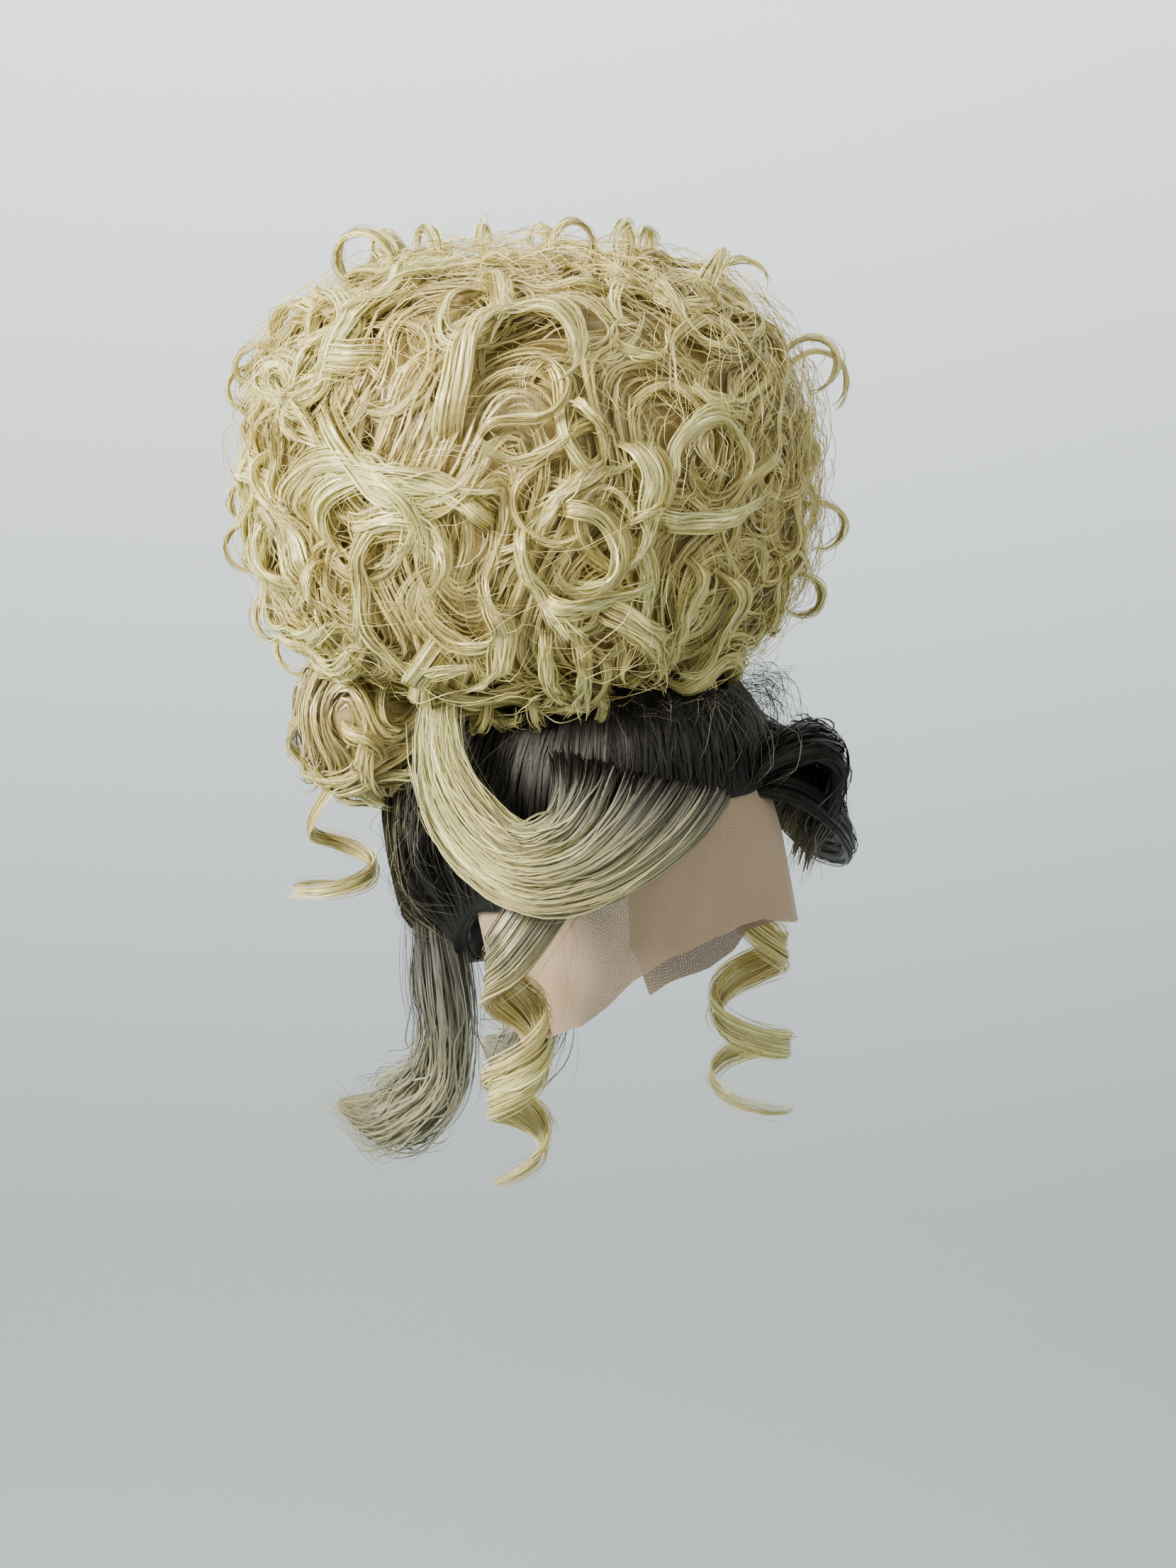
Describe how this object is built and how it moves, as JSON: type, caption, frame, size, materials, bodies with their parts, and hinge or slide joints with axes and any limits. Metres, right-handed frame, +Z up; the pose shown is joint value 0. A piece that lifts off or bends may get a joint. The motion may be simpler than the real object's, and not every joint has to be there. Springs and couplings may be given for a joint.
{
  "type": "wig",
  "caption": "Tall curled updo wig on a lace-front cap, dark combed roots, swept front waves, side ringlets and flipped nape locks, in worn form without a head",
  "frame": {"origin": "the inside of the cap at the crown, where the wearer's head meets it", "axes": "+Z up along the worn wig, -Y the way the wearer faces, +X the wearer's left"},
  "size_m": [0.3085, 0.3178, 0.5283],
  "materials": {
    "cap_net": "fine dark stretch net, matt",
    "lace": "sheer beige tulle, matt",
    "root_hair": "combed black fibre, soft gloss",
    "ash_hair": "ash grey fibre that runs from black roots to blonde, soft gloss",
    "blonde_hair": "pale blonde curled fibre, soft gloss"
  },
  "bodies": {
    "root": {"back_puff": "blonde_hair", "back_tendril": "blonde_hair", "curl_01": "blonde_hair", "curl_02": "blonde_hair", "curl_03": "blonde_hair", "curl_04": "blonde_hair", "curl_05": "blonde_hair", "curl_06": "blonde_hair", "curl_07": "blonde_hair", "curl_08": "blonde_hair", "curl_09": "blonde_hair", "curl_10": "blonde_hair", "curl_11": "blonde_hair", "curl_12": "blonde_hair", "curl_13": "blonde_hair", "curl_14": "blonde_hair", "curl_15": "blonde_hair", "curl_16": "blonde_hair", "curl_17": "blonde_hair", "curl_18": "blonde_hair", "curl_19": "blonde_hair", "curl_20": "blonde_hair", "curl_21": "blonde_hair", "curl_22": "blonde_hair", "curl_23": "blonde_hair", "curl_24": "blonde_hair", "curl_25": "blonde_hair", "curl_26": "blonde_hair", "curl_27": "blonde_hair", "curl_28": "blonde_hair", "curl_29": "blonde_hair", "curl_30": "blonde_hair", "curl_31": "blonde_hair", "curl_32": "blonde_hair", "curl_33": "blonde_hair", "curl_34": "blonde_hair", "curl_35": "blonde_hair", "lace_front": "lace", "loop_01": "blonde_hair", "loop_02": "blonde_hair", "loop_03": "blonde_hair", "loop_04": "blonde_hair", "loop_05": "blonde_hair", "loop_06": "blonde_hair", "loop_07": "blonde_hair", "loop_08": "blonde_hair", "loop_09": "blonde_hair", "nape_lock_left": "ash_hair", "nape_lock_right": "ash_hair", "ringlet_left": "blonde_hair", "ringlet_right": "blonde_hair", "root_hair": "root_hair", "updo_mass": "blonde_hair", "wave_left": "ash_hair", "wave_right": "ash_hair", "wig_cap": "cap_net"}
  },
  "joints": []
}
